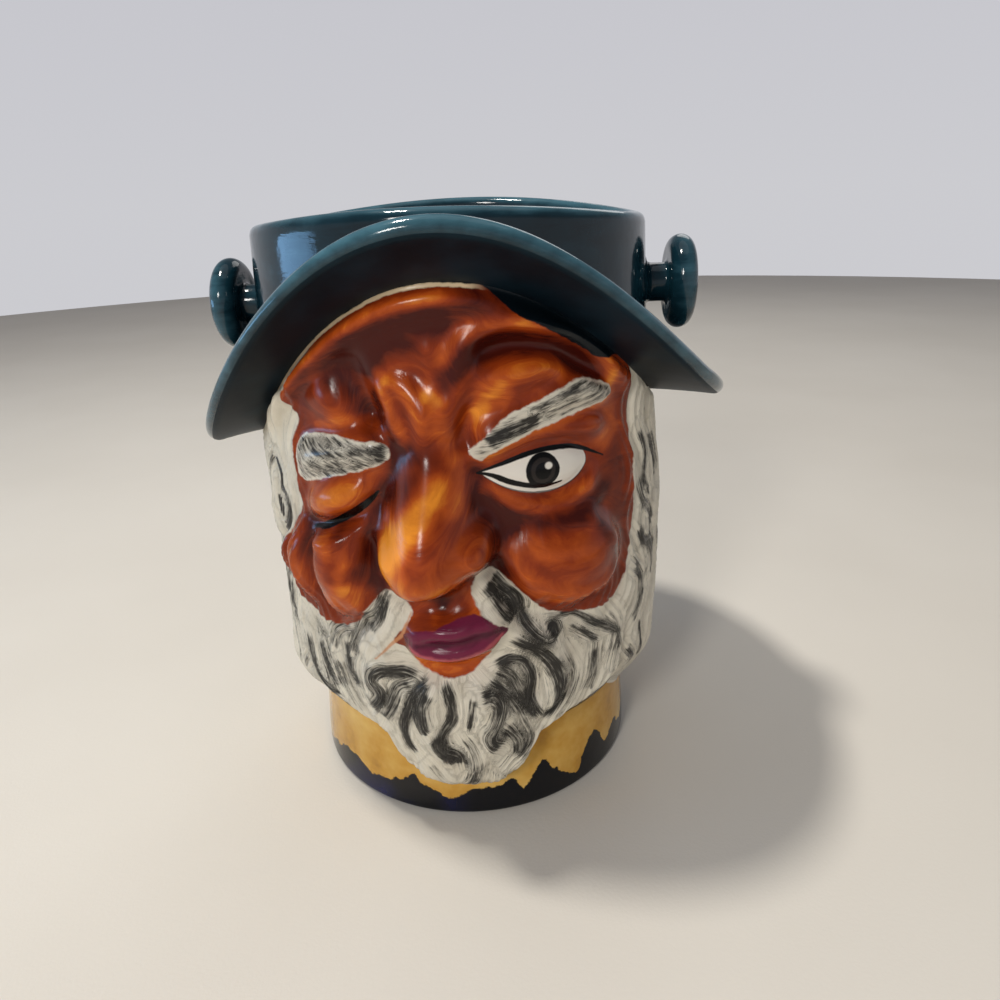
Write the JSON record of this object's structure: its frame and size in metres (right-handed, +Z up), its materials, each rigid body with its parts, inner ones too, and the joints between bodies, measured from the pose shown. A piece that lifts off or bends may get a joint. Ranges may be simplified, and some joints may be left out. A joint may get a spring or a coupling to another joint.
{
  "type": "figural ice bucket",
  "caption": "Open ceramic ice bucket cast as a winking, bearded old sailor's head under a drooping brimmed hat, with a knob on each side of the crown for a bail handle",
  "frame": {"origin": "the middle of the flat foot, on the table plane and on the bucket's axis", "axes": "+Z up, the face looks along -Y, +X to the viewer's right, so the wearer's left side is at +X; the knobs lie on X"},
  "size_m": [0.164, 0.1625, 0.1865],
  "materials": {
    "glazed_earthenware": "gloss, hand painted"
  },
  "bodies": {
    "root": {"ice_bucket": "glazed_earthenware"}
  },
  "joints": []
}
